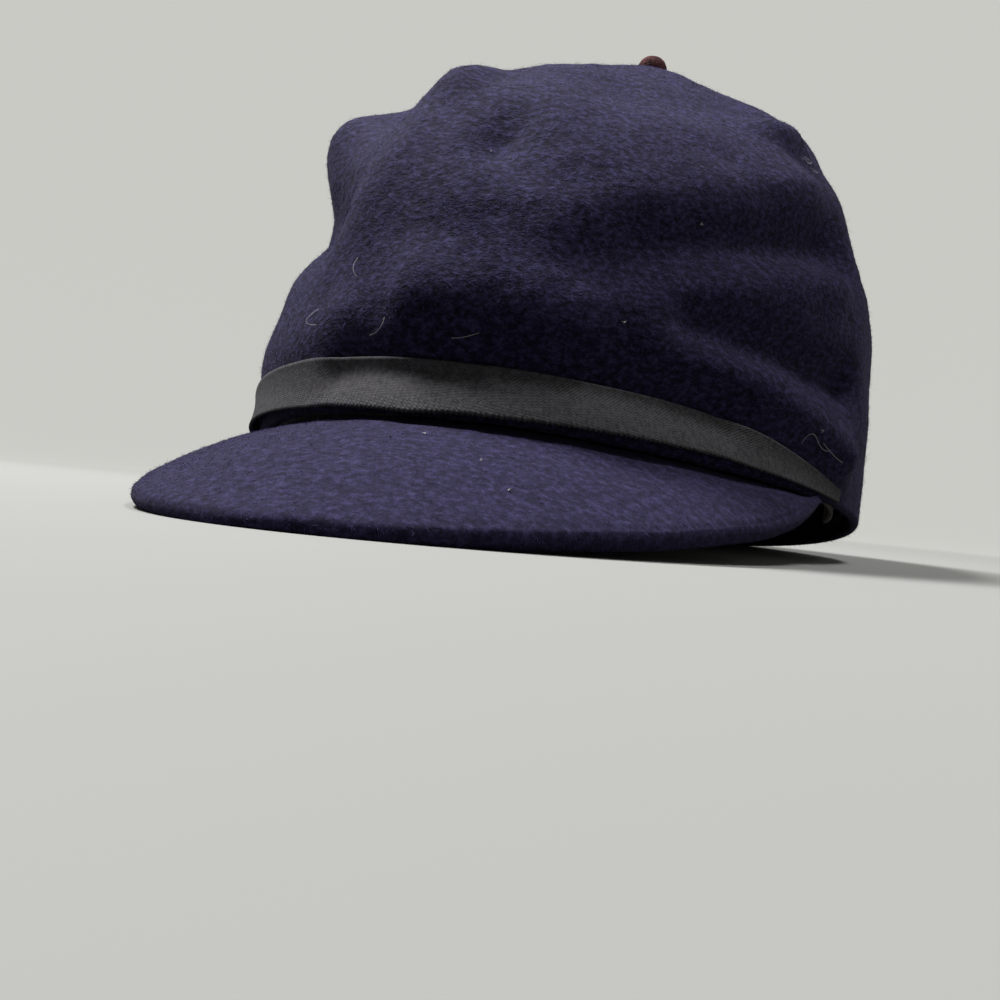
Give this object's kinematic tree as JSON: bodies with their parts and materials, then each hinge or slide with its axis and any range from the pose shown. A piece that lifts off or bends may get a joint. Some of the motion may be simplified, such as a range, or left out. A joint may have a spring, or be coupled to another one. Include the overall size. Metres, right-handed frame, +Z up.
{
  "type": "earflap cap",
  "caption": "Soft napped wool cap with a wool-covered peak, a herringbone tape across the front, a cotton sweatband and an earflap turned up inside the sides and back.",
  "frame": {"origin": "middle of the footprint, on the floor", "axes": "+Z up, the peak points to -Y, and +X is the wearer's left"},
  "size_m": [0.172, 0.2782, 0.1485],
  "materials": {
    "wool": "napped felted wool",
    "peak_wool": "napped felted wool",
    "facing_cloth": "plain woven cloth",
    "tape": "herringbone twill tape",
    "cotton": "plain cotton",
    "flap_wool": "felted wool",
    "button_cloth": "cloth-covered button"
  },
  "bodies": {
    "root": {"crown": "wool", "peak": "peak_wool", "peak_underside": "facing_cloth", "front_band": "tape", "sweatband": "cotton", "earflap": "flap_wool", "top_button": "button_cloth"}
  },
  "joints": []
}
